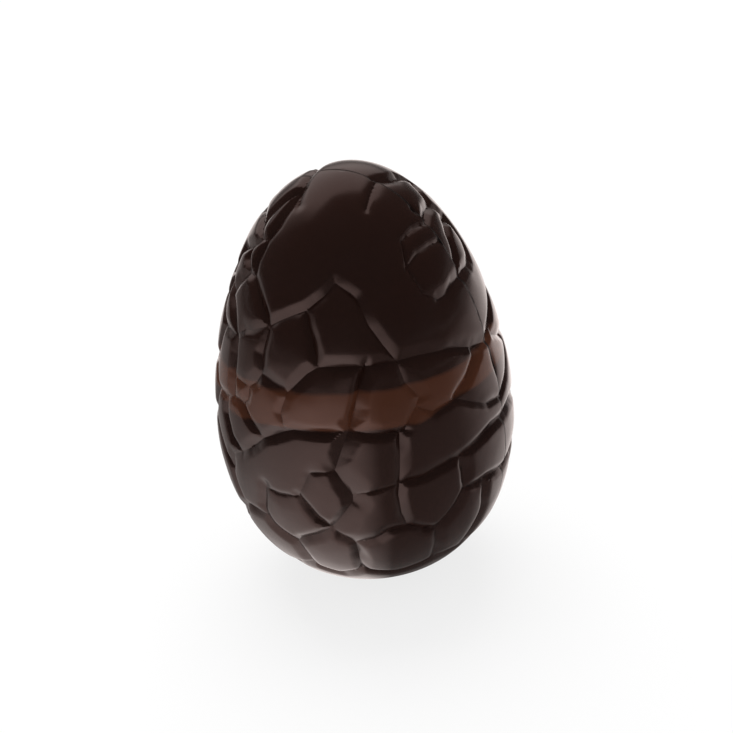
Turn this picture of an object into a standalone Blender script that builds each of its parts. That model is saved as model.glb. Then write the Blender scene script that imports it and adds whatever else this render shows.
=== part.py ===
"""Moulded chocolate egg with a cracked-tile relief, standing on its blunt end.

The egg is a body of revolution pressed in a two-part mould.  Its surface is
broken into tiles by V-shaped grooves, laid out by their corners: degrees round
the egg and millimetres up it.  The rear half of the mould mirrors the front
half, apart from a few grooves near the top, and they meet at an upright seam.

Frame: +Z up along the egg's long axis, narrow end up, the front half of the
mould faces -Y, the seam lies in the XZ plane.  The origin is the centre of the
small flat spot the egg stands on.
"""
import math

import bpy
import numpy as np
from mathutils import Vector
from mathutils.geometry import delaunay_2d_cdt

# ---- driving sizes, metres ------------------------------------------------
MOULD_LENGTH = 0.1200        # pole to pole, before the flat spot
BELLY_RADIUS = 0.0397        # radius of the profile at half length
TAPER = -0.177               # slims the upper end, fills the lower end
FULLNESS = 0.112             # rounds out both ends
FLAT_TRIM = 0.0011           # height lost to the flat spot under the blunt end
GROOVE_DEPTH = 0.0010        # depth of a groove between two tiles
SLOPE_WIDTH = 0.00245        # slope from a tile's top down to its groove
SLOPE_LEAN = 0.00085         # wider above and to the right, narrower below
LONGEST_CUT = 0.006          # a longer groove is followed in pieces
SEAM_DEPTH = 0.0003          # fine line where the halves meet
SEAM_HALF_WIDTH = 0.0006
RIM_STEPS = 120              # points along the seam
KNOT_SPACING = 0.0028        # points along a groove
FILL_SPACING = 0.0050        # points on a tile's top
FLAT_STEPS = 16              # sides of half the flat spot
TOP_SPACING = 0.0011         # least distance between points on the slopes' edges
TOP_SHARE = 0.08             # less deep than this share counts as a tile's top

CHOCOLATE = (0.020, 0.011, 0.008, 1.0)

# ---- groove layout, folded onto the front half --------------------------------
# Each groove: its depth as a share of GROOVE_DEPTH, how much wider than usual its
# left and right slopes are, and its corners as (degrees round from the front, mm
# above half length).  Left and right are those of a walk along the corners.
GROOVES = {
    # round the crown
    "crown left": (1.0, 1.0, 1.0, [(-56, 57), (-45, 54), (-43, 50), (-46, 46)]),
    "crown far left": (0.8, 1.0, 1.0, [(-56, 57), (-63, 54), (-63, 49), (-60, 46)]),
    "crown top left": (0.5, 1.0, 1.0, [(-90, 58), (-56, 57), (-34, 55)]),
    "crown lower left": (1.0, 1.0, 1.0, [(-22, 28), (-10, 32), (-2, 34), (8, 38), (14, 41)]),
    "crown lower right": (0.9, 1.0, 1.0, [(14, 41), (20, 39), (25, 37), (30, 30), (35, 25), (40, 20)]),
    "crown foot right": (0.8, 1.0, 1.0, [(40, 20), (50, 20), (60, 19), (68, 18), (79, 15), (90, 13)]),
    # shoulders
    "shoulder top": (0.9, 1.0, 1.0, [(-46, 46), (-53, 45), (-60, 46), (-75, 47), (-90, 46)]),
    "shoulder left": (1.0, 1.0, 1.0, [(-46, 46), (-45, 40), (-42, 37), (-34, 34), (-22, 28)]),
    "shoulder far left": (0.9, 1.0, 1.0, [(-53, 45), (-59, 42), (-57, 39), (-49, 37), (-42, 37)]),
    "shoulder right foot": (0.8, 1.0, 1.0, [(69, 31), (75, 31), (82, 32), (90, 32)]),
    # above the belt
    "upper left rim": (1.0, 1.0, 1.0, [(-49, 37), (-56, 33), (-60, 28), (-54, 26), (-48, 23), (-44, 21)]),
    "upper left foot": (0.7, 1.0, 1.0, [(-44, 21), (-38, 24), (-32, 25), (-22, 28)]),
    "upper middle left": (1.0, 1.0, 1.0, [(-2, 34), (0, 30), (2, 27), (5, 20)]),
    "upper middle foot": (1.0, 1.0, 1.0, [(5, 20), (26, 20), (40, 20)]),
    "upper left of middle": (1.0, 1.0, 1.0, [(5, 20), (0, 18), (-9, 12)]),
    "belt left right side": (0.9, 1.0, 1.0, [(-22, 28), (-24, 20), (-23, 15), (-26, 12), (-30, 10)]),
    "belt left foot": (0.6, 1.0, 1.0, [(-30, 10), (-42, 10)]),
    "belt left rim": (1.0, 1.0, 1.0, [(-44, 21), (-42, 10), (-41, 4)]),
    "belt left rim top": (0.8, 1.0, 1.0, [(-44, 21), (-50, 20), (-60, 19)]),
    # the belt
    "belt centre left top": (0.9, 1.0, 1.0, [(-23, 15), (-12, 13), (-9, 12)]),
    "belt centre left side": (0.4, 1.0, 1.0, [(-9, 12), (-12, 6), (-10, 1)]),
    "belt centre far left": (0.8, 1.0, 1.0, [(-30, 10), (-31, 6), (-34, 4), (-30, 1), (-21, -3)]),
    "belt rim foot": (0.7, 1.0, 1.0, [(-34, 4), (-41, 4), (-47, 2), (-58, 1)]),
    "belt centre right side": (1.5, 0.8, 1.3, [(17, 3), (20, 9), (22, 14), (26, 20)]),
    "belt right of centre": (0.6, 1.0, 1.0, [(40, 20), (42, 14), (47, 9), (45, 7), (39, 1)]),
    "belt right side": (0.9, 1.0, 1.0, [(79, 15), (80, 12), (71, 8), (63, 5)]),
    "belt right foot": (0.5, 1.0, 1.0, [(45, 7), (52, 4), (63, 5), (70, 2), (80, -2), (90, -4)]),
    "belt foot": (1.0, 1.0, 1.0, [(-35, -11), (-29, -8), (-21, -3), (-10, 1), (-6, 2), (10, 2),
                                  (17, 3), (23, 2), (30, 1), (37, 1), (39, 1)]),
    # the belly
    "belly left rim": (0.9, 1.0, 1.0, [(-35, -11), (-42, -9), (-47, -3), (-47, 2)]),
    "belly centre side": (1.4, 1.5, 1.5, [(17, 3), (15, 0), (10, -9)]),
    "belly centre right": (1.0, 1.0, 1.0, [(37, 1), (36, -7), (35, -14), (34, -18), (35, -25), (37, -29)]),
    "belly right foot": (1.0, 1.0, 1.0, [(35, -14), (45, -14), (52, -13), (61, -12), (70, -11),
                                         (80, -10), (90, -10)]),
    "belly left foot": (0.4, 2.0, 0.6, [(-6, -18), (-15, -19), (-22, -18)]),
    "belly left side": (1.0, 1.0, 1.0, [(-22, -18), (-26, -26), (-26, -29)]),
    "belly rim low": (0.8, 1.0, 1.0, [(-35, -11), (-42, -14), (-46, -20), (-42, -30), (-26, -29)]),
    # the small six-sided patch and its neighbours
    "hexagon top": (0.4, 0.6, 2.0, [(-6, -18), (0, -10), (10, -9)]),
    "hexagon right": (1.4, 2.0, 1.8, [(10, -9), (16, -17), (16, -19)]),
    "hexagon lower right": (1.3, 1.6, 1.0, [(16, -19), (6, -28)]),
    "hexagon lower left": (1.0, 1.0, 1.0, [(6, -28), (0, -25), (-6, -18)]),
    "lower centre top": (0.35, 0.8, 2.0, [(16, -17), (20, -16), (35, -14)]),
    "lower right side": (0.9, 1.0, 1.0, [(61, -12), (63, -17), (63, -23)]),
    "lower right foot": (1.0, 1.0, 1.0, [(37, -29), (44, -32), (50, -33), (58, -28), (63, -23)]),
    "lower rim foot": (1.0, 1.0, 1.0, [(63, -23), (75, -24), (90, -26)]),
    # the foot
    "foot left": (1.0, 1.0, 1.0, [(-26, -29), (-24, -32), (-20, -34), (-13, -36)]),
    "foot left top": (0.9, 1.0, 1.0, [(-13, -36), (-9, -34), (0, -31), (6, -28)]),
    "foot centre top": (0.9, 1.0, 1.0, [(6, -28), (9, -31), (15, -33), (24, -32), (29, -30), (37, -29)]),
    "foot left side": (0.9, 1.0, 1.0, [(-13, -36), (-12, -46)]),
    "foot centre side": (1.0, 1.0, 1.0, [(15, -33), (15, -46)]),
    "foot right side": (0.9, 1.0, 1.0, [(50, -33), (51, -37), (53, -46)]),
    "foot rim side": (0.8, 1.0, 1.0, [(75, -24), (76, -34), (70, -47)]),
    # the side turned away, and the underside
    "side high": (0.9, 1.0, 1.0, [(-59, 42), (-72, 38), (-70, 31), (-60, 28)]),
    "side high rim": (0.9, 1.0, 1.0, [(-70, 31), (-80, 30), (-90, 33)]),
    "side upper": (0.9, 1.0, 1.0, [(-60, 19), (-68, 22), (-70, 31)]),
    "side upper rim": (0.9, 1.0, 1.0, [(-68, 22), (-80, 24), (-90, 21)]),
    "side belt": (0.9, 1.0, 1.0, [(-60, 19), (-64, 8), (-58, 1), (-62, -8), (-46, -20)]),
    "side belt rim": (0.9, 1.0, 1.0, [(-64, 8), (-76, 5), (-90, 8)]),
    "side belly": (0.9, 1.0, 1.0, [(-62, -8), (-75, -10), (-90, -8)]),
    "side low": (0.9, 1.0, 1.0, [(-75, -10), (-74, -21), (-60, -25), (-50, -36), (-42, -30)]),
    "side low rim": (0.9, 1.0, 1.0, [(-74, -21), (-90, -24)]),
    "side foot": (0.9, 1.0, 1.0, [(-50, -36), (-65, -36), (-90, -38)]),
    "side under": (0.9, 1.0, 1.0, [(-50, -36), (-48, -46)]),
    "under left": (0.8, 1.0, 1.0, [(-12, -46), (-30, -49), (-48, -46), (-70, -48), (-90, -46)]),
    "under right": (0.8, 1.0, 1.0, [(-12, -46), (2, -49), (15, -46), (32, -49), (53, -46),
                                    (70, -47), (90, -46)]),
}
FRONT_ONLY = {
    "crown top right": (0.2, 1.0, 1.0, [(90, 58), (60, 57), (45, 55)]),
    "crown right": (0.15, 1.0, 1.0, [(62, 47), (57, 41), (61, 34), (69, 31)]),
    "crown side": (0.25, 1.0, 1.0, [(62, 47), (76, 48), (90, 47)]),
    "shoulder right top": (0.25, 1.0, 1.0, [(57, 41), (68, 43), (80, 43), (90, 42)]),
}
REAR_ONLY = {
    "rear crown top": (1.0, 1.0, 1.0, [(90, 58), (62, 56), (45, 54), (40, 50)]),
    "rear crown right": (0.8, 1.0, 1.0, [(40, 50), (52, 50), (62, 47), (57, 41), (61, 34), (69, 31)]),
    "rear crown side": (1.0, 1.0, 1.0, [(62, 47), (76, 48), (90, 47)]),
    "rear shoulder": (1.0, 1.0, 1.0, [(57, 41), (66, 42), (76, 40), (83, 36), (90, 32)]),
}


def profile(u):
    """Radius of the egg at height u, from -1 at the blunt pole to +1."""
    return (BELLY_RADIUS * np.sqrt(np.clip(1.0 - u * u, 0.0, 1.0))
            * (1.0 + TAPER * u + FULLNESS * u * u))


def shell_point(turn, u):
    """Point of the smooth egg, measured from the middle of its axis."""
    radius = profile(u)
    return np.stack([radius * np.sin(turn), -radius * np.cos(turn),
                     0.5 * MOULD_LENGTH * u], axis=-1)


def shell_normal(turn, u):
    step = 1e-5
    inner = np.clip(u, -0.9999, 0.9999)
    slope = (profile(inner + step) - profile(inner - step)) / (step * MOULD_LENGTH)
    length = np.sqrt(1.0 + slope * slope)
    return np.stack([np.sin(turn) / length, -np.cos(turn) / length,
                     -slope / length], axis=-1)


def on_shell(degrees, millimetres):
    u = millimetres / 1000.0 / (0.5 * MOULD_LENGTH)
    return shell_point(np.float64(math.radians(degrees)), np.float64(u))


def cuts(layouts):
    """The grooves as straight cuts: start, stop, depth share, left, right."""
    rows = []
    for layout in layouts:
        for depth, left, right, corners in layout.values():
            for one, two in zip(corners[:-1], corners[1:]):
                pieces = math.ceil(np.linalg.norm(on_shell(*two) - on_shell(*one)) / LONGEST_CUT)
                knots = [on_shell(one[0] + (two[0] - one[0]) * k / pieces,
                                  one[1] + (two[1] - one[1]) * k / pieces)
                         for k in range(pieces + 1)]
                for start, stop in zip(knots[:-1], knots[1:]):
                    rows.append([*start, *stop, depth, left, right])
    return np.array(rows)


FRONT_CUTS = cuts([GROOVES, FRONT_ONLY])
REAR_CUTS = cuts([GROOVES, REAR_ONLY])


def measure_half(points, rows):
    """How deep the slopes of the nearest cuts are, from 0 to 1."""
    turn = np.arctan2(points[:, 0], -points[:, 1])
    normal = shell_normal(turn, points[:, 2] / (0.5 * MOULD_LENGTH))
    lean = np.stack([0.6 * np.cos(turn), 0.6 * np.sin(turn), 0.8 + 0.0 * turn], axis=-1)
    length = np.linalg.norm(rows[:, 3:6] - rows[:, 0:3], axis=1)
    along = (rows[:, 3:6] - rows[:, 0:3]) / length[:, None]
    gap = points[:, None] - rows[None, :, 0:3]
    reach = np.clip((gap * along[None]).sum(-1), 0.0, length)
    gap -= reach[..., None] * along[None]
    gap -= normal[:, None] * (gap * normal[:, None]).sum(-1)[..., None]
    far = np.maximum(np.linalg.norm(gap, axis=-1), 1e-7)
    left = np.cross(normal[:, None], along[None])
    side = (gap * left).sum(-1) / far
    stretch = (1.0 + side) / 2.0 * rows[:, 7] + (1.0 - side) / 2.0 * rows[:, 8]
    width = (SLOPE_WIDTH + SLOPE_LEAN * (gap * lean[:, None]).sum(-1) / far) * stretch
    slope = rows[:, 6] * np.clip(1.0 - far / width, 0.0, 1.0)
    return slope.max(axis=1)


def measure(points):
    """The same on both halves; the rear half is folded onto the front one."""
    folded = points.copy()
    rear = folded[:, 1] > 0.0
    folded[rear, 1] *= -1.0
    slope = np.empty(len(points))
    slope[~rear] = measure_half(folded[~rear], FRONT_CUTS)
    slope[rear] = measure_half(folded[rear], REAR_CUTS)
    return slope


def relief(points):
    """How far the surface lies below the smooth egg."""
    beside = np.abs(points[:, 1])
    seam = SEAM_DEPTH * np.clip(1.0 - beside / SEAM_HALF_WIDTH, 0.0, 1.0)
    height = points[:, 2] + 0.5 * MOULD_LENGTH - FLAT_TRIM
    fade = np.clip(height / 0.004, 0.0, 1.0)
    return np.maximum(GROOVE_DEPTH * measure(points), seam) * fade


# ---- the front half as a flat disc, whose rim is the seam ---------------------
def unroll(turn, polar):
    x, y, z = np.sin(polar) * np.sin(turn), np.sin(polar) * np.cos(turn), np.cos(polar)
    reach, bearing = np.arccos(np.clip(y, -1.0, 1.0)), np.arctan2(z, x)
    return BELLY_RADIUS * np.stack([reach * np.cos(bearing), reach * np.sin(bearing)], axis=-1)


def roll_up(disc):
    reach = np.hypot(disc[:, 0], disc[:, 1]) / BELLY_RADIUS
    bearing = np.arctan2(disc[:, 1], disc[:, 0])
    x, y, z = np.sin(reach) * np.cos(bearing), np.cos(reach), np.sin(reach) * np.sin(bearing)
    return np.arctan2(x, y), np.arccos(np.clip(z, -1.0, 1.0))


def disc_of(points):
    """Disc position of points on the shell's front half."""
    turn = np.arctan2(points[:, 0], -points[:, 1])
    return unroll(turn, np.arccos(np.clip(points[:, 2] / (0.5 * MOULD_LENGTH), -1.0, 1.0)))


LAST_POLAR = math.acos(-1.0 + FLAT_TRIM / (0.5 * MOULD_LENGTH))


def rim_points():
    """Seam points that both halves share: where grooves and the flat spot meet
    the seam, and even steps between them."""
    bearings = [-0.5 * math.pi, 0.5 * math.pi - LAST_POLAR, LAST_POLAR - 1.5 * math.pi]
    for layout in (GROOVES, FRONT_ONLY, REAR_ONLY):
        for _, _, _, corners in layout.values():
            for degrees, millimetres in corners:
                if abs(degrees) == 90:
                    up = math.asin(millimetres / 1000.0 / (0.5 * MOULD_LENGTH))
                    bearings.append(up if degrees > 0 else math.pi - up)
    fixed = np.array(bearings)
    step = 2.0 * math.pi / RIM_STEPS
    even = step * (np.arange(RIM_STEPS) + 0.5)
    apart = np.abs((even[:, None] - fixed[None] + math.pi) % (2.0 * math.pi) - math.pi).min(axis=1)
    every = np.concatenate([fixed, even[apart > 0.55 * step]])
    every = np.unique(np.round(every % (2.0 * math.pi), 6))
    reach = 0.5 * math.pi * BELLY_RADIUS
    return reach * np.stack([np.cos(every), np.sin(every)], axis=-1)


def groove_knots(layouts):
    """Points down the middle of every groove, joined in order, and points where
    its slopes reach the tiles' tops."""
    knots, joins, tops = [], [], []
    for layout in layouts:
        for _, left, right, corners in layout.values():
            for one, two in zip(corners[:-1], corners[1:]):
                a, b = on_shell(*one), on_shell(*two)
                pieces = max(1, round(np.linalg.norm(b - a) / KNOT_SPACING))
                share = np.linspace(0.0, 1.0, pieces + 1)[:, None]
                places = np.array(one) + (np.array(two) - np.array(one)) * share
                shell = np.array([on_shell(*place) for place in places])
                joins += [(len(knots) + k, len(knots) + k + 1) for k in range(pieces)]
                knots += list(disc_of(shell))
                middle = 0.5 * (shell[:-1] + shell[1:])
                turn = np.arctan2(middle[:, 0], -middle[:, 1])
                normal = shell_normal(turn, middle[:, 2] / (0.5 * MOULD_LENGTH))
                along = (b - a) / np.linalg.norm(b - a)
                aside = np.cross(normal, along)
                lean = (0.6 * (aside[:, 0] * np.cos(turn) + aside[:, 1] * np.sin(turn))
                        + 0.8 * aside[:, 2])[:, None]
                tops += list(middle + aside * (SLOPE_WIDTH + SLOPE_LEAN * lean) * left)
                tops += list(middle - aside * (SLOPE_WIDTH - SLOPE_LEAN * lean) * right)
    return np.array(knots), joins, np.array(tops)


def well_apart(candidates, kept, spacing):
    """Add the candidates that keep this distance from all that came before."""
    kept = list(kept)
    added = []
    for place in candidates:
        if np.min(np.linalg.norm(np.array(kept) - place, axis=1)) > spacing:
            kept.append(place)
            added.append(place)
    return added


def half_mesh(layouts, rows, rim):
    """Triangles of one half on the disc, with edges along every groove."""
    reach = 0.5 * math.pi * BELLY_RADIUS
    knots, joins, tops = groove_knots(layouts)
    flat_turn = np.radians(np.linspace(-90.0, 90.0, FLAT_STEPS + 1))
    flat = unroll(flat_turn, np.full(FLAT_STEPS + 1, LAST_POLAR))
    beside = rim * (1.0 - SEAM_HALF_WIDTH / reach)
    solid = np.concatenate([rim, flat, knots])
    beside = np.array(well_apart(beside, np.concatenate([flat, knots]), 0.4 * SEAM_HALF_WIDTH))

    def free_top(disc):
        turn, polar = roll_up(disc)
        slope = measure_half(shell_point(turn, np.cos(polar)), rows)
        inside = np.linalg.norm(disc, axis=1) < reach - 2.5 * SEAM_HALF_WIDTH
        return disc[(slope < TOP_SHARE) & inside & (polar < LAST_POLAR - 0.02)]

    front = tops[tops[:, 1] < 0.0]
    edges_of_tops = well_apart(free_top(disc_of(front)), np.concatenate([knots, flat]), TOP_SPACING)
    lattice = np.arange(-reach, reach, FILL_SPACING)
    grid = np.array([(x + 0.5 * FILL_SPACING * (row % 2), y)
                     for row, y in enumerate(lattice) for x in lattice])
    fixed = np.concatenate([solid, np.array(edges_of_tops)])
    fill = well_apart(free_top(grid), fixed, 0.62 * FILL_SPACING)
    places = np.concatenate([rim, beside, flat, knots, np.array(edges_of_tops), np.array(fill)])
    first_flat = len(rim) + len(beside)
    first_knot = first_flat + len(flat)
    edges = [(first_flat + k, first_flat + k + 1) for k in range(FLAT_STEPS)]
    edges += [(first_knot + a, first_knot + b) for a, b in joins]
    in_millimetres = [Vector(place) * 1000.0 for place in places]
    vertices, _, faces, _, _, _ = delaunay_2d_cdt(in_millimetres, edges, [], 0, 1e-3)
    disc = np.array([tuple(v) for v in vertices]) / 1000.0
    return disc, [tuple(face) for face in faces]


def egg_mesh():
    rim = rim_points()
    reach = 0.5 * math.pi * BELLY_RADIUS
    points, faces, seam_points = [], [], {}
    for rear, layouts, rows in ((False, (GROOVES, FRONT_ONLY), FRONT_CUTS),
                                (True, (GROOVES, REAR_ONLY), REAR_CUTS)):
        disc, triangles = half_mesh(layouts, rows, rim)
        on_rim = np.hypot(disc[:, 0], disc[:, 1]) > reach - 0.1 * SEAM_HALF_WIDTH
        turn, polar = roll_up(disc)
        turn = np.where(on_rim, np.where(disc[:, 0] < 0.0, -1.0, 1.0) * 0.5 * math.pi, turn)
        base = shell_point(turn, np.cos(polar))
        base[on_rim, 1] = -1e-12
        surface = base - shell_normal(turn, np.cos(polar)) * relief(base)[:, None]
        surface[on_rim, 1] = 0.0
        surface[:, 2] += 0.5 * MOULD_LENGTH - FLAT_TRIM
        surface[:, 2] = np.where(polar > LAST_POLAR - 1e-4, 0.0, surface[:, 2])
        if rear:
            surface[:, 1] *= -1.0
        number = []
        for place, shared, spot in zip(disc, on_rim, surface):
            key = round(math.atan2(place[1], place[0]) % (2.0 * math.pi), 3)
            if shared and key in seam_points:
                number.append(seam_points[key])
                continue
            if shared:
                seam_points[key] = len(points)
            number.append(len(points))
            points.append(spot)
        for a, b, c in triangles:
            area = np.cross(disc[b] - disc[a], disc[c] - disc[a])
            loop = (number[a], number[b], number[c])
            faces.append(loop if (area > 0) != rear else loop[::-1])
    return np.array(points), faces


def chocolate_material():
    material = bpy.data.materials.new("dark chocolate")
    material.use_nodes = True
    shader = material.node_tree.nodes["Principled BSDF"]
    shader.inputs["Base Color"].default_value = CHOCOLATE
    shader.inputs["Roughness"].default_value = 0.28
    shader.inputs["Metallic"].default_value = 0.0
    return material


def main():
    for leftover in list(bpy.data.objects):
        bpy.data.objects.remove(leftover)
    points, faces = egg_mesh()
    mesh = bpy.data.meshes.new("egg")
    mesh.from_pydata([tuple(float(v) for v in p) for p in points], [], faces)
    mesh.validate()
    mesh.update()
    mesh.shade_smooth()
    mesh.set_sharp_from_angle(angle=math.radians(15.0))
    egg = bpy.data.objects.new("egg", mesh)
    egg.data.materials.append(chocolate_material())
    bpy.context.scene.collection.objects.link(egg)
    print("egg:", len(points), "points,", len(faces), "triangles")


main()
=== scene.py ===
# %% [markdown]
# # A moulded chocolate egg
# The real egg is cast in a two-part mould whose walls are cut into tiles that
# look like cracked earth.  The CAD solid already stands in the frame.  Here it
# gets the surface that the eye sees: crisp slopes between the tiles, the thin
# line where the mould halves meet, and the gloss of tempered chocolate.

# %% Load the frame
import math
import bpy
import numpy as np
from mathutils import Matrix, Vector


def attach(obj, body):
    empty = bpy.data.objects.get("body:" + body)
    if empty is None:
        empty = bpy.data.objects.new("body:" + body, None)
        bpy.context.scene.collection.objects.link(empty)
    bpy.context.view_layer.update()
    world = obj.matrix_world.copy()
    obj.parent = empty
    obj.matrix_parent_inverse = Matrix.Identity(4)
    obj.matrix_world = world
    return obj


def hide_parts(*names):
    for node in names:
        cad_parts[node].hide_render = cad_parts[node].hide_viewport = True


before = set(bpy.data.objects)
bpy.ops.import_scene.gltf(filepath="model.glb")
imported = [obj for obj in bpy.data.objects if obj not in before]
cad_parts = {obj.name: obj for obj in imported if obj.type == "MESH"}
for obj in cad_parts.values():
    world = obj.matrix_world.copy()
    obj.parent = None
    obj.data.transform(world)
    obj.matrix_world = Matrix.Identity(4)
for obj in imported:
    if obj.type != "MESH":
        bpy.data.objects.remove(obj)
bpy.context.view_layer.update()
print("CAD nodes:", len(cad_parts))

# %% [markdown]
# ## Camera
# A small glossy thing is best looked at from far away through a long lens,
# because a near camera swells the part that faces it.  The camera looks down
# by 30 degrees and is rolled a little, so that the egg seems to lean.

# %% Camera
VIEW_AZIMUTH = 24.4          # degrees to the right of the front
VIEW_ELEVATION = 30.0
VIEW_DISTANCE = 1.338
VIEW_ROLL = -5.5
MIDDLE_HEIGHT = 0.0589
SENSOR_WIDTH = 36.0          # millimetres, as is the focal length
FOCAL_LENGTH = 245.6
SIDE_SHIFT = 0.0070


def direction(azimuth, elevation):
    """Unit vector from the egg towards a place, in degrees round from the front and up."""
    a, e = math.radians(azimuth), math.radians(elevation)
    return Vector((math.sin(a) * math.cos(e), -math.cos(a) * math.cos(e), math.sin(e)))


target = Vector((0.0, 0.0, MIDDLE_HEIGHT))
away = direction(VIEW_AZIMUTH, VIEW_ELEVATION)
bpy.ops.object.select_all(action="DESELECT")
bpy.ops.object.camera_add(location=target + away * VIEW_DISTANCE)
camera = bpy.context.object
camera.name = "camera"
camera.rotation_euler = (-away).to_track_quat("-Z", "Y").to_euler()
camera.rotation_euler.rotate_axis("Z", math.radians(VIEW_ROLL))
camera.data.sensor_width = SENSOR_WIDTH
camera.data.lens = FOCAL_LENGTH
camera.data.shift_x = SIDE_SHIFT
camera.data.clip_start = 0.05
camera.data.clip_end = 50.0
bpy.context.scene.camera = camera
print("camera at", tuple(round(v, 3) for v in camera.location))

# %% [markdown]
# ## The egg's outline
# An egg is an ellipsoid that is slimmer at one end.  A curve drawn by hand and
# spun would do, but here the radius is an ellipse's radius times a short
# polynomial.  A formula also gives the way the surface faces, which the
# grooves need.  Heights are measured from the middle of the egg's axis, and u
# runs from -1 at the blunt end to 1 at the narrow end.

# %% Outline of the smooth egg
HALF_LENGTH = 0.0600
BELLY_RADIUS = 0.0397        # at half length
TAPER = -0.177               # slims the upper end, fills the lower end
FULLNESS = 0.112             # rounds out both ends
FLAT_TRIM = 0.0011           # height lost to the flat spot it stands on
LIFT = HALF_LENGTH - FLAT_TRIM


def outline(u):
    return BELLY_RADIUS * np.sqrt(np.clip(1 - u * u, 0, 1)) * (1 + TAPER * u + FULLNESS * u * u)


u_table = np.cos(np.linspace(0, math.pi, 4001))
theta_table = np.arctan2(outline(u_table), HALF_LENGTH * u_table)
print("widest:", round(2000 * outline(u_table).max(), 1), "mm")


# %% Points and directions on the smooth egg
def onto_egg(points):
    """Slide points along the line to the egg's middle until they lie on it."""
    rho = np.hypot(points[:, 0], points[:, 1])
    u = np.interp(np.arctan2(rho, points[:, 2]), theta_table, u_table)
    turn = np.arctan2(points[:, 0], -points[:, 1])
    r = outline(u)
    return np.stack([r * np.sin(turn), -r * np.cos(turn), HALF_LENGTH * u], axis=-1)


def egg_normal(points):
    """The way the smooth egg faces at these points."""
    u = np.clip(points[:, 2] / HALF_LENGTH, -0.9999, 0.9999)
    slope = (outline(u + 5e-5) - outline(u - 5e-5)) / (1e-4 * HALF_LENGTH)
    turn = np.arctan2(points[:, 0], -points[:, 1])
    length = np.sqrt(1 + slope * slope)
    return np.stack([np.sin(turn) / length, -np.cos(turn) / length, -slope / length], axis=-1)


print("the front faces", egg_normal(onto_egg(np.array([[0.0, -1.0, 0.0]])))[0].round(3))

# %% [markdown]
# ## The grooves
# The cracked look is cut into the mould as V-shaped grooves, each a short run
# of straight cuts.  They could be drawn as curves and projected, but a list of
# corners in degrees round the egg and millimetres up it reads like the
# engraver's own layout, and every slope can be worked out from it.  The mould's
# rear half mirrors the front half, apart from a few grooves near the top.

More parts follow.
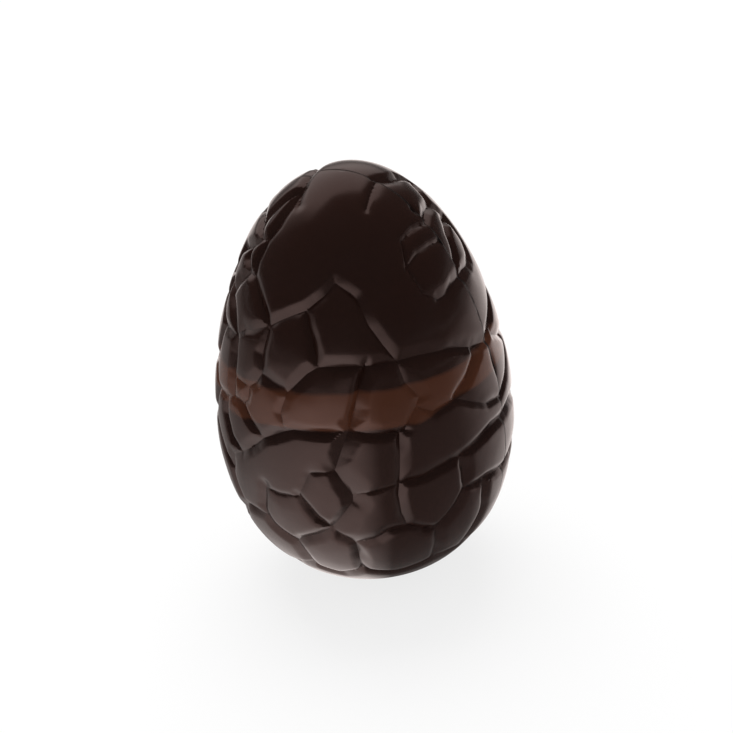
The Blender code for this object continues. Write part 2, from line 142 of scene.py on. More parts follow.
# %% Groove layout
# Each groove: its depth as a share of GROOVE_DEPTH, how much wider than usual its
# left and right slopes are, and its corners as (degrees round from the front, mm
# above half length).  Left and right are those of a walk along the corners.
GROOVES = {
    # round the crown
    "crown left": (1.0, 1.0, 1.0, [(-56, 57), (-45, 54), (-43, 50), (-46, 46)]),
    "crown far left": (0.8, 1.0, 1.0, [(-56, 57), (-63, 54), (-63, 49), (-60, 46)]),
    "crown top left": (0.5, 1.0, 1.0, [(-90, 58), (-56, 57), (-34, 55)]),
    "crown lower left": (1.0, 1.0, 1.0, [(-22, 28), (-10, 32), (-2, 34), (8, 38), (14, 41)]),
    "crown lower right": (0.9, 1.0, 1.0, [(14, 41), (20, 39), (25, 37), (30, 30), (35, 25), (40, 20)]),
    "crown foot right": (0.8, 1.0, 1.0, [(40, 20), (50, 20), (60, 19), (68, 18), (79, 15), (90, 13)]),
    # shoulders
    "shoulder top": (0.9, 1.0, 1.0, [(-46, 46), (-53, 45), (-60, 46), (-75, 47), (-90, 46)]),
    "shoulder left": (1.0, 1.0, 1.0, [(-46, 46), (-45, 40), (-42, 37), (-34, 34), (-22, 28)]),
    "shoulder far left": (0.9, 1.0, 1.0, [(-53, 45), (-59, 42), (-57, 39), (-49, 37), (-42, 37)]),
    "shoulder right foot": (0.8, 1.0, 1.0, [(69, 31), (75, 31), (82, 32), (90, 32)]),
    # above the belt
    "upper left rim": (1.0, 1.0, 1.0, [(-49, 37), (-56, 33), (-60, 28), (-54, 26), (-48, 23), (-44, 21)]),
    "upper left foot": (0.7, 1.0, 1.0, [(-44, 21), (-38, 24), (-32, 25), (-22, 28)]),
    "upper middle left": (1.0, 1.0, 1.0, [(-2, 34), (0, 30), (2, 27), (5, 20)]),
    "upper middle foot": (1.0, 1.0, 1.0, [(5, 20), (26, 20), (40, 20)]),
    "upper left of middle": (1.0, 1.0, 1.0, [(5, 20), (0, 18), (-9, 12)]),
    "belt left right side": (0.9, 1.0, 1.0, [(-22, 28), (-24, 20), (-23, 15), (-26, 12), (-30, 10)]),
    "belt left foot": (0.6, 1.0, 1.0, [(-30, 10), (-42, 10)]),
    "belt left rim": (1.0, 1.0, 1.0, [(-44, 21), (-42, 10), (-41, 4)]),
    "belt left rim top": (0.8, 1.0, 1.0, [(-44, 21), (-50, 20), (-60, 19)]),
    # the belt
    "belt centre left top": (0.9, 1.0, 1.0, [(-23, 15), (-12, 13), (-9, 12)]),
    "belt centre left side": (0.4, 1.0, 1.0, [(-9, 12), (-12, 6), (-10, 1)]),
    "belt centre far left": (0.8, 1.0, 1.0, [(-30, 10), (-31, 6), (-34, 4), (-30, 1), (-21, -3)]),
    "belt rim foot": (0.7, 1.0, 1.0, [(-34, 4), (-41, 4), (-47, 2), (-58, 1)]),
    "belt centre right side": (1.5, 0.8, 1.3, [(17, 3), (20, 9), (22, 14), (26, 20)]),
    "belt right of centre": (0.6, 1.0, 1.0, [(40, 20), (42, 14), (47, 9), (45, 7), (39, 1)]),
    "belt right side": (0.9, 1.0, 1.0, [(79, 15), (80, 12), (71, 8), (63, 5)]),
    "belt right foot": (0.5, 1.0, 1.0, [(45, 7), (52, 4), (63, 5), (70, 2), (80, -2), (90, -4)]),
    "belt foot": (1.0, 1.0, 1.0, [(-35, -11), (-29, -8), (-21, -3), (-10, 1), (-6, 2), (10, 2),
                                  (17, 3), (23, 2), (30, 1), (37, 1), (39, 1)]),
    # the belly
    "belly left rim": (0.9, 1.0, 1.0, [(-35, -11), (-42, -9), (-47, -3), (-47, 2)]),
    "belly centre side": (1.4, 1.5, 1.5, [(17, 3), (15, 0), (10, -9)]),
    "belly centre right": (1.0, 1.0, 1.0, [(37, 1), (36, -7), (35, -14), (34, -18), (35, -25), (37, -29)]),
    "belly right foot": (1.0, 1.0, 1.0, [(35, -14), (45, -14), (52, -13), (61, -12), (70, -11),
                                         (80, -10), (90, -10)]),
    "belly left foot": (0.4, 2.0, 0.6, [(-6, -18), (-15, -19), (-22, -18)]),
    "belly left side": (1.0, 1.0, 1.0, [(-22, -18), (-26, -26), (-26, -29)]),
    "belly rim low": (0.8, 1.0, 1.0, [(-35, -11), (-42, -14), (-46, -20), (-42, -30), (-26, -29)]),
    # the small six-sided patch and its neighbours
    "hexagon top": (0.4, 0.6, 2.0, [(-6, -18), (0, -10), (10, -9)]),
    "hexagon right": (1.4, 2.0, 1.8, [(10, -9), (16, -17), (16, -19)]),
    "hexagon lower right": (1.3, 1.6, 1.0, [(16, -19), (6, -28)]),
    "hexagon lower left": (1.0, 1.0, 1.0, [(6, -28), (0, -25), (-6, -18)]),
    "lower centre top": (0.35, 0.8, 2.0, [(16, -17), (20, -16), (35, -14)]),
    "lower right side": (0.9, 1.0, 1.0, [(61, -12), (63, -17), (63, -23)]),
    "lower right foot": (1.0, 1.0, 1.0, [(37, -29), (44, -32), (50, -33), (58, -28), (63, -23)]),
    "lower rim foot": (1.0, 1.0, 1.0, [(63, -23), (75, -24), (90, -26)]),
    # the foot
    "foot left": (1.0, 1.0, 1.0, [(-26, -29), (-24, -32), (-20, -34), (-13, -36)]),
    "foot left top": (0.9, 1.0, 1.0, [(-13, -36), (-9, -34), (0, -31), (6, -28)]),
    "foot centre top": (0.9, 1.0, 1.0, [(6, -28), (9, -31), (15, -33), (24, -32), (29, -30), (37, -29)]),
    "foot left side": (0.9, 1.0, 1.0, [(-13, -36), (-12, -46)]),
    "foot centre side": (1.0, 1.0, 1.0, [(15, -33), (15, -46)]),
    "foot right side": (0.9, 1.0, 1.0, [(50, -33), (51, -37), (53, -46)]),
    "foot rim side": (0.8, 1.0, 1.0, [(75, -24), (76, -34), (70, -47)]),
    # the side turned away, and the underside
    "side high": (0.9, 1.0, 1.0, [(-59, 42), (-72, 38), (-70, 31), (-60, 28)]),
    "side high rim": (0.9, 1.0, 1.0, [(-70, 31), (-80, 30), (-90, 33)]),
    "side upper": (0.9, 1.0, 1.0, [(-60, 19), (-68, 22), (-70, 31)]),
    "side upper rim": (0.9, 1.0, 1.0, [(-68, 22), (-80, 24), (-90, 21)]),
    "side belt": (0.9, 1.0, 1.0, [(-60, 19), (-64, 8), (-58, 1), (-62, -8), (-46, -20)]),
    "side belt rim": (0.9, 1.0, 1.0, [(-64, 8), (-76, 5), (-90, 8)]),
    "side belly": (0.9, 1.0, 1.0, [(-62, -8), (-75, -10), (-90, -8)]),
    "side low": (0.9, 1.0, 1.0, [(-75, -10), (-74, -21), (-60, -25), (-50, -36), (-42, -30)]),
    "side low rim": (0.9, 1.0, 1.0, [(-74, -21), (-90, -24)]),
    "side foot": (0.9, 1.0, 1.0, [(-50, -36), (-65, -36), (-90, -38)]),
    "side under": (0.9, 1.0, 1.0, [(-50, -36), (-48, -46)]),
    "under left": (0.8, 1.0, 1.0, [(-12, -46), (-30, -49), (-48, -46), (-70, -48), (-90, -46)]),
    "under right": (0.8, 1.0, 1.0, [(-12, -46), (2, -49), (15, -46), (32, -49), (53, -46),
                                    (70, -47), (90, -46)]),
}
FRONT_ONLY = {
    "crown top right": (0.2, 1.0, 1.0, [(90, 58), (60, 57), (45, 55)]),
    "crown right": (0.15, 1.0, 1.0, [(62, 47), (57, 41), (61, 34), (69, 31)]),
    "crown side": (0.25, 1.0, 1.0, [(62, 47), (76, 48), (90, 47)]),
    "shoulder right top": (0.25, 1.0, 1.0, [(57, 41), (68, 43), (80, 43), (90, 42)]),
}
REAR_ONLY = {
    "rear crown top": (1.0, 1.0, 1.0, [(90, 58), (62, 56), (45, 54), (40, 50)]),
    "rear crown right": (0.8, 1.0, 1.0, [(40, 50), (52, 50), (62, 47), (57, 41), (61, 34), (69, 31)]),
    "rear crown side": (1.0, 1.0, 1.0, [(62, 47), (76, 48), (90, 47)]),
    "rear shoulder": (1.0, 1.0, 1.0, [(57, 41), (66, 42), (76, 40), (83, 36), (90, 32)]),
}


# %% Straight cuts along the grooves
LONGEST_CUT = 0.006          # a longer run is followed in pieces, as the egg is round


def on_egg(degrees, millimetres):
    u = millimetres / 1000 / HALF_LENGTH
    a, r = math.radians(degrees), float(outline(np.float64(u)))
    return np.array([r * math.sin(a), -r * math.cos(a), millimetres / 1000])


def cuts(layouts):
    """Rows of start (3), direction (3), length, depth share, left and right widths."""
    rows = []
    for layout in layouts:
        for depth, left, right, corners in layout.values():
            for one, two in zip(corners[:-1], corners[1:]):
                a, b = on_egg(*one), on_egg(*two)
                pieces = math.ceil(np.linalg.norm(b - a) / LONGEST_CUT)
                knots = onto_egg(a + (b - a) * np.linspace(0, 1, pieces + 1)[:, None])
                for start, stop in zip(knots[:-1], knots[1:]):
                    length = np.linalg.norm(stop - start)
                    rows.append([*start, *((stop - start) / length), length, depth, left, right])
    return np.array(rows)


FRONT_CUTS = cuts([GROOVES, FRONT_ONLY])
REAR_CUTS = cuts([GROOVES, REAR_ONLY])
print(len(GROOVES), "grooves,", len(FRONT_CUTS), "cuts on the front half")

# %% [markdown]
# ## Hand-made unevenness
# The mould was cut by hand, so no slope keeps its width or depth.  A noise
# texture could vary them, but the mesh is shaped before it has a material.
# A few sine waves that lean different ways wander just as gently.

# %% Unevenness of hand work
WAVES = 5
WAVE_HEIGHT = 2.6            # about the highest sum of the waves


def hand_made(points, size, phase=0.0):
    """A smooth wandering value between about -1 and 1, waves `size` metres long."""
    total = np.zeros(len(points))
    for n in range(WAVES):
        lean = np.array([math.sin(1.7 * n + phase), math.cos(2.3 * n + phase),
                         math.sin(3.1 * n + 1 + phase)])
        lean *= (0.8 + 0.13 * n) / np.linalg.norm(lean)
        total += np.sin(points @ lean * 2 * math.pi / size + 2.1 * n + phase)
    return total / WAVE_HEIGHT


up_the_front = onto_egg(np.array([[0.0, -1.0, height] for height in (-1.0, 0.0, 1.0)]))
print("unevenness up the front:", hand_made(up_the_front, 0.011).round(2))

# %% [markdown]
# ## From a cut to its slopes
# A slope runs straight from a tile's top down to its groove.  Where two slopes
# cross, the deeper one wins, as two cuts of a chisel would.  Boolean cuts do
# the same, but leave ragged slivers on a round body, so the depth at each
# point is worked out from its distance to every cut near it.

# %% Distance to the cuts
STRIP = 4000                 # points measured at a time, to spare memory
NEIGHBOURHOOD = 0.030        # cuts further up or down than this don't matter


def fold(points):
    """Mirror the rear half onto the front half, and say which points were on it."""
    folded = points.copy()
    rear = folded[:, 1] > 0
    folded[rear, 1] *= -1
    return folded, rear


def gaps(points, normal, rows):
    """The way from every cut to every point along the surface, and its length."""
    start, along = rows[:, 0:3], rows[:, 3:6]
    gap = points[:, None] - start[None]
    reach = np.clip((gap * along[None]).sum(-1), 0, rows[:, 6])
    gap -= reach[..., None] * along[None]
    gap -= normal[:, None] * (gap * normal[:, None]).sum(-1)[..., None]
    return gap, np.maximum(np.linalg.norm(gap, axis=-1), 1e-7)


def nearest_cut(points, rows):
    """Distance from the nearest cut, and the way from it, in four columns."""
    gap, far = gaps(points, egg_normal(points), rows)
    each, nearest = np.arange(len(points)), far.argmin(axis=1)
    shortest = far[each, nearest][:, None]
    return np.concatenate([shortest, gap[each, nearest] / shortest], axis=1)


def on_both_halves(measure, columns, points):
    """Measure all points, strip by strip, against the cuts of their own half."""
    result = np.empty((len(points), columns))
    folded, rear = fold(points)
    for half, rows in ((~rear, FRONT_CUTS), (rear, REAR_CUTS)):
        chosen = np.where(half)[0]
        for first in range(0, len(chosen), STRIP):
            some = chosen[first:first + STRIP]
            low, high = folded[some, 2].min() - NEIGHBOURHOOD, folded[some, 2].max() + NEIGHBOURHOOD
            near = rows[(rows[:, 2] > low) & (rows[:, 2] < high)]
            result[some] = measure(folded[some], near)
    return result


def way_from_groove(points):
    """Distance and direction from the nearest groove."""
    measured = on_both_halves(nearest_cut, 4, points)
    measured[points[:, 1] > 0, 2] *= -1
    return measured[:, 0], measured[:, 1:]


print("the middle of the front is", (way_from_groove(up_the_front)[0][1] * 1000).round(1),
      "mm from a groove")

# %% Depth of the slopes
SLOPE_WIDTH = 0.00245        # from a tile's top down to its groove, on average
SLOPE_LEAN = 0.00085         # wider above and to the right, narrower below
LEAN_RIGHT, LEAN_UP = 0.6, 0.8
EDGE_ROUND = 0.20            # rounding of a slope's upper edge, as a share of its width
CREASE_POWER = 4.0           # the higher, the sharper the middle between two grooves
WIDTH_UNEVEN = 0.15
WIDTH_WAVES = 0.014


def slopes(points, rows):
    """Depth share of the slopes, and a distance with no crease between two grooves."""
    normal = egg_normal(points)
    gap, far = gaps(points, normal, rows)
    turn = np.arctan2(points[:, 0], -points[:, 1])
    lean = np.stack([LEAN_RIGHT * np.cos(turn), LEAN_RIGHT * np.sin(turn), LEAN_UP + 0 * turn], axis=-1)
    left = np.cross(normal[:, None], rows[None, :, 3:6])
    side = (gap * left).sum(-1) / far
    stretch = (1 + side) / 2 * rows[:, 8] + (1 - side) / 2 * rows[:, 9]
    width = (SLOPE_WIDTH + SLOPE_LEAN * (gap * lean[:, None]).sum(-1) / far) * stretch
    width *= (1 + WIDTH_UNEVEN * hand_made(points, WIDTH_WAVES, 3.0))[:, None]
    inward = 1 - far / width
    rounded = np.where(inward < -EDGE_ROUND, 0, (inward + EDGE_ROUND) ** 2 / (4 * EDGE_ROUND))
    ramp = np.where(inward > EDGE_ROUND, inward, rounded)
    softly = ((far / rows[:, 7]) ** -CREASE_POWER).sum(axis=1) ** (-1 / CREASE_POWER)
    return np.stack([(ramp * rows[:, 7]).max(axis=1), softly], axis=1)


print("slope shares up the front:", on_both_halves(slopes, 2, up_the_front)[:, 0].round(2))

# %% [markdown]
# ## The fine mesh
# A sphere primitive has its vertices in neat rings.  They are moved onto the
# egg and drawn closer together beside the mould seam.  Vertices close to a
# groove are then slid sideways into it, so that a chain of edges lies in every
# groove.  Subdividing until the grooves look sharp would take millions of faces.

# %% Add the sphere and wrap it on the egg
SEGMENTS, RINGS = 400, 244
SEAM_SQUEEZE = 0.6           # share by which vertices are drawn together at the seam
SEAM_BAND = 0.0016           # how far from the seam that reaches
POLE_CAP = 0.004             # rings smaller than this radius stay even
bpy.ops.object.select_all(action="DESELECT")
bpy.ops.mesh.primitive_uv_sphere_add(segments=SEGMENTS, ring_count=RINGS, radius=1.0)
egg = bpy.context.object
egg.name = "chocolate_egg"
mesh = egg.data
ball = np.empty(len(mesh.vertices) * 3, dtype=np.float32)
mesh.vertices.foreach_get("co", ball)
surface = onto_egg(ball.reshape(-1, 3).astype(np.float64))
across = surface[:, 1].copy()
packed = across * (1 - SEAM_SQUEEZE * np.exp(-(across / SEAM_BAND) ** 2))
side = np.sign(surface[:, 0])
radius = np.hypot(surface[:, 0], surface[:, 1])
keep = radius > POLE_CAP
surface[keep, 1] = packed[keep]
surface[keep, 0] = (side * np.sqrt(np.maximum(radius ** 2 - surface[:, 1] ** 2, 0)))[keep]
print(len(mesh.vertices), "vertices,", round(2000 * math.pi * BELLY_RADIUS / SEGMENTS, 2), "mm apart")

# %% Slide vertices onto the groove lines
MERIDIAN = 0.152             # from pole to pole along the surface
SEAM_CLEAR = 0.0012          # vertices this near the seam stay where they are
POLE_CLEAR = 0.006
ROOM_USED = 0.92             # share of the room to its neighbours that a vertex may use
SLIDES = 3                   # each one comes closer to the groove
near_seam = (surface[:, 1] / SEAM_BAND) ** 2
squeeze = np.where(keep, 1 - SEAM_SQUEEZE * np.exp(-near_seam) * (1 - 2 * near_seam), 1)
pitch_round = 2 * math.pi * radius / SEGMENTS * squeeze
pitch_down = MERIDIAN / RINGS
far, heading = way_from_groove(surface)
tangent = np.stack([-surface[:, 1], surface[:, 0], 0 * radius], axis=-1)
tangent /= np.maximum(radius, 1e-6)[:, None]
round_share = np.abs((heading * tangent).sum(1))
room = 0.5 * (round_share * pitch_round + (1 - round_share) * pitch_down)
wanted = (far < room) & (np.abs(surface[:, 1]) > SEAM_CLEAR) & (radius > POLE_CLEAR)
home = surface[wanted]
most = ROOM_USED * room[wanted]
for _ in range(SLIDES):
    here = surface[wanted]
    far, heading = way_from_groove(here)
    normal = egg_normal(here)
    sideways = heading - normal * (heading * normal).sum(1)[:, None]
    sideways /= np.maximum((sideways ** 2).sum(1), 0.3)[:, None]
    drift = here - far[:, None] * sideways - home
    drift *= np.minimum(1, most / np.maximum(np.linalg.norm(drift, axis=1), 1e-9))[:, None]
    surface[wanted] = onto_egg(home + drift)
print(int(wanted.sum()), "vertices slid onto grooves")

# %% [markdown]
# ## Relief
# Most slopes fall about a millimetre from the tile's top to the groove, and a
# few by half as much again.  A tile is slightly domed, because chocolate pulls
# back from the mould as it sets.  Where the two mould halves meet, a fine line
# wanders up the egg, with a step of a tenth of a millimetre.  A bump texture
# could show all this from the front, but only geometry gives a notched outline.

# %% Depth of the surface at every vertex
GROOVE_DEPTH = 0.00110
DEPTH_UNEVEN = 0.22
DEPTH_WAVES = 0.011
DOME_DEPTH = 0.00085         # how much lower a tile's edge is than its middle
DOME_REACH = 0.0055
SEAM_DEPTH = 0.00040
SEAM_HALF_WIDTH = 0.00034
SEAM_STEP = 0.00010          # the rear half lies this much lower
SEAM_WANDER = 0.00012
SEAM_WAVES = 310.0           # radians a metre
SEAM_SHIVER = 0.00008        # a quicker, smaller wave on top of the slow one
SEAM_SHIVERS = 770.0
FOOT_FADE = 0.004            # the relief dies out towards the flat spot
slope, softly = on_both_halves(slopes, 2, surface).T
uneven = 1 + DEPTH_UNEVEN * hand_made(fold(surface)[0], DEPTH_WAVES)
depth = GROOVE_DEPTH * uneven * slope + DOME_DEPTH * np.exp(-softly / DOME_REACH)
wander = SEAM_WANDER * np.sin(surface[:, 2] * SEAM_WAVES)
wander += SEAM_SHIVER * np.sin(surface[:, 2] * SEAM_SHIVERS + 1)
beside = surface[:, 1] - wander
seam = SEAM_DEPTH * np.exp(-(beside / SEAM_HALF_WIDTH) ** 2)
step = np.where(beside > 0, SEAM_STEP, 0.0)
fade = np.clip((surface[:, 2] + LIFT) / FOOT_FADE, 0, 1)
depth = (np.maximum(depth, seam) + step) * fade
print("deepest:", round(depth.max() * 1000, 2), "mm")

# %% Press the relief into the mesh
shape = surface - egg_normal(surface) * depth[:, None]
shape[:, 2] = np.maximum(shape[:, 2] + LIFT, 0.0)
mesh.vertices.foreach_set("co", shape.astype(np.float32).ravel())
mesh.update()
print("the egg's top is at", round(shape[:, 2].max() * 1000, 1), "mm")

# %% [markdown]
# ## Crisp edges
# A four-sided face that a groove crosses from corner to corner has to be split
# along the groove, or the groove gets teeth.  The shorter diagonal is the right
# one there.  Edges sharper than 26 degrees are then shaded as edges, and the
# rest as one smooth skin.

# %% Split and shade the faces
SHARP_ANGLE = 26
bpy.ops.object.mode_set(mode="EDIT")
bpy.ops.mesh.select_all(action="SELECT")
bpy.ops.mesh.quads_convert_to_tris(quad_method="SHORTEST_DIAGONAL")
bpy.ops.object.mode_set(mode="OBJECT")
bpy.ops.object.shade_smooth_by_angle(angle=math.radians(SHARP_ANGLE))
print(len(mesh.polygons), "triangles")
print("egg", [round(v * 1000, 1) for v in egg.dimensions], "mm")

# %% [markdown]
# ## Helpers for materials
# Colours are written as they look on a screen and turned to linear light, which
# the shader works in.  One more helper adds a node, sets its inputs and joins
# its links, so that each pattern reads as a short list.

# %% Colour and node helpers
def linear(hex_colour):
    values = [int(hex_colour[i:i + 2], 16) / 255 for i in (1, 3, 5)]
    return tuple(v / 12.92 if v <= 0.04045 else ((v + 0.055) / 1.055) ** 2.4 for v in values) + (1.0,)


def add_node(tree, kind, links=None, **settings):
    """Add a node, set its properties and inputs, and join its inputs."""
    node = tree.nodes.new(kind)
    for key, value in settings.items():
        if key.startswith("in_"):
            socket = int(key[3:]) if key[3:].isdigit() else key[3:].replace("_", " ")
            node.inputs[socket].default_value = value
        else:
            setattr(node, key, value)
    for socket, source in (links or {}).items():
        tree.links.new(source, node.inputs[socket])
    return node


print("mid grey is", round(linear("#808080")[0], 3), "in linear light")

# %% [markdown]
# ## Dark chocolate: gloss
# Tempered dark chocolate sets with a fine, even crystal against a polished
# mould, which gives a clear gloss like that of smooth plastic.  Cocoa butter
# bends light like most fats, with an IOR of about 1.5.  The gloss is tinted a
# little, because some of the light goes through the skin of cocoa butter.

# %% Gloss of the chocolate
chocolate = bpy.data.materials.new("tempered dark chocolate, moulded")
chocolate.use_nodes = True
tree = chocolate.node_tree
shader = tree.nodes["Principled BSDF"]
shader.inputs["IOR"].default_value = 1.50
shader.inputs["Specular Tint"].default_value = (1.0, 0.76, 0.72, 1.0)
place = add_node(tree, "ShaderNodeTexCoord").outputs["Object"]
split = add_node(tree, "ShaderNodeSeparateXYZ", {0: place})
print("shader IOR", round(shader.inputs["IOR"].default_value, 2))

# %% [markdown]
# ## Dark chocolate: the belt
# Round the middle runs a belt of lighter, redder chocolate.  It hangs lower on
# the left, climbs to the right, and its edges waver.  An image could be wrapped
# on, but two smooth steps on the height stay sharp at any size: one step turns
# the belt's colour on, and the other turns it off again.

# %% Where the belt begins
DARK, BELT = "#231410", "#48281A"
BELT_LOW, BELT_HIGH = 0.0610, 0.0698
LEFT_SAG = 0.0018            # how much lower the belt begins on the left
RIGHT_RISE = 0.0030          # how much higher it begins on the right
TOP_RISE = 0.0024            # how much higher it ends on the right
WAVERS_PER_METRE = 60.0      # one waver every 17 mm or so
wave = add_node(tree, "ShaderNodeTexNoise", {"Vector": place}, in_Scale=WAVERS_PER_METRE, in_Detail=2.0)
sway = add_node(tree, "ShaderNodeMath", {0: wave.outputs["Fac"]}, operation="MULTIPLY_ADD",
                in_1=0.002, in_2=-0.001)
level = add_node(tree, "ShaderNodeMath", {0: split.outputs["Z"], 1: sway.outputs[0]}, operation="ADD")
sag = add_node(tree, "ShaderNodeMapRange", {"Value": split.outputs["X"]}, interpolation_type="SMOOTHSTEP",
               in_1=-0.022, in_2=-0.010, in_3=LEFT_SAG, in_4=0.0)
rise = add_node(tree, "ShaderNodeMapRange", {"Value": split.outputs["X"]}, interpolation_type="SMOOTHSTEP",
                in_1=0.027, in_2=0.036, in_3=0.0, in_4=-RIGHT_RISE)
lower = add_node(tree, "ShaderNodeMath", {0: level.outputs[0], 1: sag.outputs[0]}, operation="ADD")
lower = add_node(tree, "ShaderNodeMath", {0: lower.outputs[0], 1: rise.outputs[0]}, operation="ADD")
turn_on = add_node(tree, "ShaderNodeMapRange", {"Value": lower.outputs[0]}, interpolation_type="SMOOTHSTEP",
                   in_1=BELT_LOW - 0.0006, in_2=BELT_LOW + 0.0008)
print("belt from", BELT_LOW * 1000, "mm")

# %% Where the belt ends, and its colour
dip = add_node(tree, "ShaderNodeMapRange", {"Value": split.outputs["X"]}, interpolation_type="SMOOTHSTEP",
               in_1=-0.028, in_2=0.010, in_3=0.0, in_4=-TOP_RISE)
upper = add_node(tree, "ShaderNodeMath", {0: level.outputs[0], 1: dip.outputs[0]}, operation="ADD")
turn_off = add_node(tree, "ShaderNodeMapRange", {"Value": upper.outputs[0]}, interpolation_type="SMOOTHSTEP",
                    in_1=BELT_HIGH - 0.0008, in_2=BELT_HIGH + 0.0008, in_3=1.0, in_4=0.0)
belt = add_node(tree, "ShaderNodeMath", {0: turn_on.outputs[0], 1: turn_off.outputs[0]},
                operation="MULTIPLY")
colour = add_node(tree, "ShaderNodeMix", {"Factor": belt.outputs[0]}, data_type="RGBA",
                  in_6=linear(DARK), in_7=linear(BELT))
print("belt to", BELT_HIGH * 1000, "mm")

# %% [markdown]
# ## Dark chocolate: the seam
# Where the halves meet, the chocolate set in the mould's joint and not against
# its polished wall, so the line is dull and looks darker.  The dark line follows
# the seam in the mesh: its slow wave is worked out here again from the height.

# %% Dark line along the seam
SEAM_COLOUR = "#120A08"
seam_wave = add_node(tree, "ShaderNodeMath", {0: split.outputs["Z"]}, operation="MULTIPLY_ADD",
                     in_1=SEAM_WAVES, in_2=-SEAM_WAVES * LIFT)
seam_sine = add_node(tree, "ShaderNodeMath", {0: seam_wave.outputs[0]}, operation="SINE")
seam_place = add_node(tree, "ShaderNodeMath", {0: seam_sine.outputs[0], 2: split.outputs["Y"]},
                      operation="MULTIPLY_ADD", in_1=-SEAM_WANDER)
seam_side = add_node(tree, "ShaderNodeMath", {0: seam_place.outputs[0]}, operation="ABSOLUTE")
seam_dark = add_node(tree, "ShaderNodeMapRange", {"Value": seam_side.outputs[0]},
                     interpolation_type="SMOOTHSTEP", in_1=0.00025, in_2=0.0007, in_3=1.0, in_4=0.0)
seamed = add_node(tree, "ShaderNodeMix", {"Factor": seam_dark.outputs[0], 6: colour.outputs[2]},
                  data_type="RGBA", in_7=linear(SEAM_COLOUR))
tree.links.new(seamed.outputs[2], shader.inputs["Base Color"])
print("colours:", DARK, BELT, SEAM_COLOUR)

# %% [markdown]
# ## Dark chocolate: scuffs, ripples and pits
# Handling dulls the gloss in patches of about 13 mm.  The shell shrinks away
# from the mould unevenly, which leaves ripples about 10 mm apart, and a small
# air bubble here and there leaves a pit.  These are too small or too shallow for
# the mesh, so noise varies the roughness, and two bump nodes tilt the surface.

# %% Scuffed and cleaner patches
SCUFFS_PER_METRE = 75.0
scuff = add_node(tree, "ShaderNodeTexNoise", {"Vector": place}, in_Scale=SCUFFS_PER_METRE, in_Detail=4.0)
gloss = add_node(tree, "ShaderNodeMapRange", {"Value": scuff.outputs["Fac"]},
                 in_1=0.35, in_2=0.65, in_3=0.15, in_4=0.23)
rougher = add_node(tree, "ShaderNodeMath", {0: seam_dark.outputs[0], 2: gloss.outputs[0]},
                   operation="MULTIPLY_ADD", in_1=0.35)
tree.links.new(rougher.outputs[0], shader.inputs["Roughness"])
print("scuffs", round(1000 / SCUFFS_PER_METRE), "mm apart")

# %% Ripples and pits
RIPPLES_PER_METRE = 100.0
PIT_CELLS_PER_METRE = 330.0  # cells of 3 mm, one in twenty of which has a pit 0.7 mm wide
ripple = add_node(tree, "ShaderNodeTexNoise", {"Vector": place}, in_Scale=RIPPLES_PER_METRE, in_Detail=1.0)
soft = add_node(tree, "ShaderNodeBump", {"Height": ripple.outputs["Fac"]}, in_Strength=1.0,
                in_Distance=0.00025)
cells = add_node(tree, "ShaderNodeTexVoronoi", {"Vector": place}, in_Scale=PIT_CELLS_PER_METRE)
few = add_node(tree, "ShaderNodeSeparateColor", {0: cells.outputs["Color"]})
chosen = add_node(tree, "ShaderNodeMath", {0: few.outputs[0]}, operation="LESS_THAN", in_1=0.05)
bowl = add_node(tree, "ShaderNodeMapRange", {"Value": cells.outputs["Distance"]},
                interpolation_type="SMOOTHSTEP", in_1=0.03, in_2=0.12, in_3=-1.0, in_4=0.0)
pit = add_node(tree, "ShaderNodeMath", {0: chosen.outputs[0], 1: bowl.outputs[0]}, operation="MULTIPLY")
pitted = add_node(tree, "ShaderNodeBump", {"Height": pit.outputs[0], "Normal": soft.outputs[0]},
                  in_Strength=0.6, in_Distance=0.00008)
tree.links.new(pitted.outputs[0], shader.inputs["Normal"])
print(len(tree.nodes), "nodes in the chocolate")

# %% [markdown]
# ## Put the egg in the frame
# The fine egg stands for the CAD solid of the same shape.  It takes that
# solid's place, which is hidden, gets the chocolate material, and moves with the root body.

# %% Material and body of the egg, and the CAD egg hidden
mesh.materials.clear()
mesh.materials.append(chocolate)
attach(egg, "root")
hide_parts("egg")
print("materials:", [m.name for m in mesh.materials])

# %% [markdown]
# ## Table
# The egg stands on a plain sheet of matt white paper.  A bright lamp could burn
# the paper out to an even white, but would change the gloss too, so most of
# what the camera sees of the paper is an even glow that lights nothing else.

# %% Table
PAPER_GLOW = 0.8             # how much of what the camera sees is glow
bpy.context.scene.view_settings.view_transform = "Standard"
bpy.ops.object.select_all(action="DESELECT")
bpy.ops.mesh.primitive_plane_add(size=8.0, location=(0, 0, -0.0002))
table = bpy.context.object
table.name = "white_table"
paper = bpy.data.materials.new("matt white paper")
paper.use_nodes = True
tree = paper.node_tree
matt = tree.nodes["Principled BSDF"]
matt.inputs["Base Color"].default_value = (0.88, 0.88, 0.88, 1)
matt.inputs["Roughness"].default_value = 1.0
matt.inputs["Specular IOR Level"].default_value = 0.0
glow = add_node(tree, "ShaderNodeEmission", in_Strength=1.0)
path = add_node(tree, "ShaderNodeLightPath")
share = add_node(tree, "ShaderNodeMath", {0: path.outputs["Is Camera Ray"]}, operation="MULTIPLY",
                 in_1=PAPER_GLOW)
blend = add_node(tree, "ShaderNodeMixShader", {0: share.outputs[0], 1: matt.outputs[0], 2: glow.outputs[0]})
tree.links.new(blend.outputs[0], tree.nodes["Material Output"].inputs["Surface"])
table.data.materials.append(paper)
print("table", table.dimensions[0], "m wide")

# %% [markdown]
# ## Room light and lamp
# Soft light from all sides fills the grooves, and a large soft box above and
# behind gives the egg its faint shadow.  Neither may show in the gloss, which
# would turn grey all over, so the room is dimmed for glossy rays and the lamp
# is hidden from them.

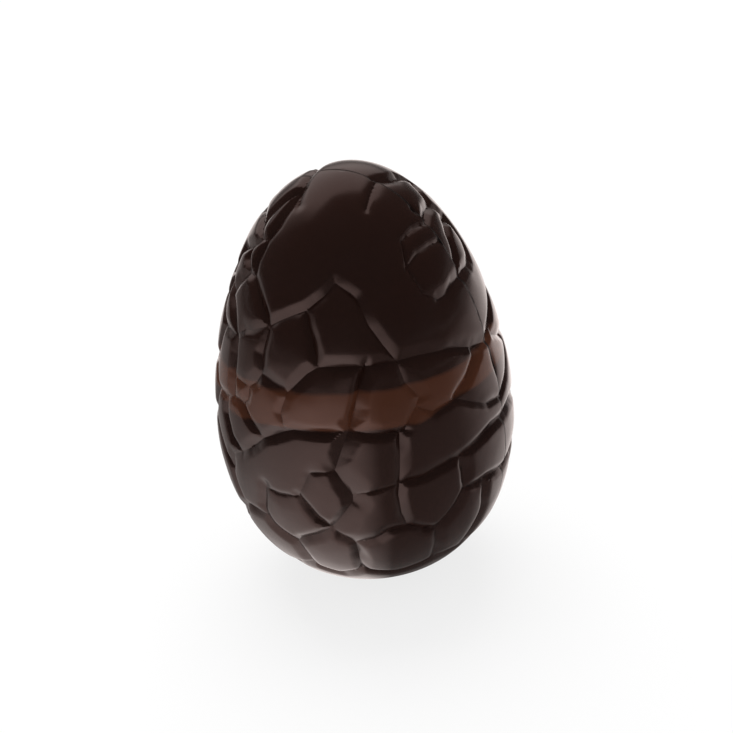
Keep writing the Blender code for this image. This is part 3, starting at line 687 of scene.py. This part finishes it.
# %% Room light
ROOM_LIGHT, ROOM_IN_GLOSS = 0.55, 0.05
world = bpy.data.worlds.new("studio")
bpy.context.scene.world = world
world.use_nodes = True
tree = world.node_tree
path = add_node(tree, "ShaderNodeLightPath")
level = add_node(tree, "ShaderNodeMapRange", {"Value": path.outputs["Is Glossy Ray"]},
                 in_3=ROOM_LIGHT, in_4=ROOM_IN_GLOSS)
tree.links.new(level.outputs[0], tree.nodes["Background"].inputs["Strength"])
tree.nodes["Background"].inputs["Color"].default_value = (1, 1, 1, 1)
print("room light", ROOM_LIGHT)

# %% Soft box overhead
BOX_SIZE = 1.4
BOX_POWER = 26.0
box_place = direction(-150, 60) * 1.6
bpy.ops.object.select_all(action="DESELECT")
bpy.ops.object.light_add(type="AREA", location=box_place)
lamp = bpy.context.object
lamp.name = "overhead"
lamp.data.shape = "RECTANGLE"
lamp.data.size = lamp.data.size_y = BOX_SIZE
lamp.data.energy = BOX_POWER
lamp.rotation_euler = (-box_place).to_track_quat("-Z", "Y").to_euler()
lamp.visible_glossy = False
print("soft box", BOX_POWER, "W")

# %% [markdown]
# ## What the gloss sees
# Gloss shows what stands round it, and a studio shapes that with cards.  These
# are seen by reflections alone.  One hangs behind, to the left, and fades out
# at its rims, which gives the soft shine on the crown.  The other lies on the
# table.  Both give a warm white, so that the gloss stays brown and not grey.

# %% A card that only reflections see
WARM_WHITE = (1.0, 0.90, 0.87, 1.0)


def card(name, place, normal, size):
    """Add a flat glowing card, and return its node tree with a "cover" mix of clear
    and light, to be shaped further."""
    bpy.ops.object.select_all(action="DESELECT")
    bpy.ops.mesh.primitive_plane_add(size=1.0, location=place)
    sheet = bpy.context.object
    sheet.name = name
    sheet.scale = (size[0], size[1], 1)
    sheet.rotation_euler = Vector(normal).to_track_quat("Z", "Y").to_euler()
    for kind in ("camera", "diffuse", "transmission", "volume_scatter", "shadow"):
        setattr(sheet, "visible_" + kind, False)
    cloth = bpy.data.materials.new(name)
    cloth.use_nodes = True
    tree = cloth.node_tree
    tree.nodes.remove(tree.nodes["Principled BSDF"])
    clear = add_node(tree, "ShaderNodeBsdfTransparent")
    light = add_node(tree, "ShaderNodeEmission", in_Color=WARM_WHITE, in_Strength=1.0)
    mix = add_node(tree, "ShaderNodeMixShader", {1: clear.outputs[0], 2: light.outputs[0]}, name="cover")
    tree.links.new(mix.outputs[0], tree.nodes["Material Output"].inputs["Surface"])
    sheet.data.materials.append(cloth)
    return tree


print("cards glow", WARM_WHITE[:3])

# %% The card behind
aim = direction(-142, 38)
sheen = card("panel", aim * 0.9 + Vector((0, 0, 0.06)), -aim, (2.0, 1.45))
spot = add_node(sheen, "ShaderNodeTexCoord").outputs["Generated"]
xyz = add_node(sheen, "ShaderNodeSeparateXYZ", {0: spot})
centred = add_node(sheen, "ShaderNodeMath", {0: xyz.outputs["X"]}, operation="SUBTRACT", in_1=0.5)
off = add_node(sheen, "ShaderNodeMath", {0: centred.outputs[0]}, operation="ABSOLUTE")
sides = add_node(sheen, "ShaderNodeMapRange", {"Value": off.outputs[0]}, interpolation_type="SMOOTHSTEP",
                 in_1=0.2, in_2=0.5, in_3=1.0, in_4=0.0)
foot = add_node(sheen, "ShaderNodeMapRange", {"Value": xyz.outputs["Y"]}, interpolation_type="SMOOTHSTEP",
                in_1=0.0, in_2=0.35)
head = add_node(sheen, "ShaderNodeMapRange", {"Value": xyz.outputs["Y"]}, interpolation_type="SMOOTHSTEP",
                in_1=0.95, in_2=1.0, in_3=1.0, in_4=0.0)
both = add_node(sheen, "ShaderNodeMath", {0: sides.outputs[0], 1: foot.outputs[0]}, operation="MULTIPLY")
every = add_node(sheen, "ShaderNodeMath", {0: both.outputs[0], 1: head.outputs[0]}, operation="MULTIPLY")
sheen.links.new(every.outputs[0], sheen.nodes["cover"].inputs[0])
print("panel at", tuple(round(v, 2) for v in aim * 0.9))

# %% [markdown]
# ## The table in the gloss
# In the gloss the table is white in front, in shade at both sides, most of all
# on the right, and white again behind.  A colour ramp over the direction from
# the egg says so, and its light fades with distance.

# %% The card on the table
# Degrees round from the front, and how bright the table looks there.
LEVELS = [(-180, 1.2), (-140, 1.0), (-115, 0.30), (-75, 0.32), (-45, 0.75), (-15, 1.0),
          (12, 0.95), (32, 0.14), (90, 0.16), (112, 0.5), (140, 0.9), (180, 1.2)]
sheen = card("table_in_gloss", (0, 0, 0.002), (0, 0, 1), (4.0, 4.0))
spot = add_node(sheen, "ShaderNodeNewGeometry").outputs["Position"]
xyz = add_node(sheen, "ShaderNodeSeparateXYZ", {0: spot})
back = add_node(sheen, "ShaderNodeMath", {0: xyz.outputs["Y"]}, operation="MULTIPLY", in_1=-1.0)
turn = add_node(sheen, "ShaderNodeMath", {0: xyz.outputs["X"], 1: back.outputs[0]}, operation="ARCTAN2")
part = add_node(sheen, "ShaderNodeMapRange", {"Value": turn.outputs[0]}, in_1=-math.pi, in_2=math.pi)
ramp = add_node(sheen, "ShaderNodeValToRGB", {0: part.outputs[0]})
while len(ramp.color_ramp.elements) < len(LEVELS):
    ramp.color_ramp.elements.new(0.5)
for element, (degrees, brightness) in zip(ramp.color_ramp.elements, LEVELS):
    element.position = (degrees + 180) / 360
    element.color = (brightness / 2, brightness / 2, brightness / 2, 1)
reach = add_node(sheen, "ShaderNodeVectorMath", {0: spot}, operation="LENGTH")
fade = add_node(sheen, "ShaderNodeMapRange", {"Value": reach.outputs["Value"]},
                interpolation_type="SMOOTHSTEP", in_1=0.05, in_2=1.0, in_3=2.9, in_4=0.5)
glow = add_node(sheen, "ShaderNodeMath", {0: ramp.outputs[0], 1: fade.outputs[0]}, operation="MULTIPLY")
sheen.links.new(glow.outputs[0], sheen.nodes["Emission"].inputs["Strength"])
sheen.nodes["cover"].inputs[0].default_value = 1.0
print(len(LEVELS), "levels round the egg")
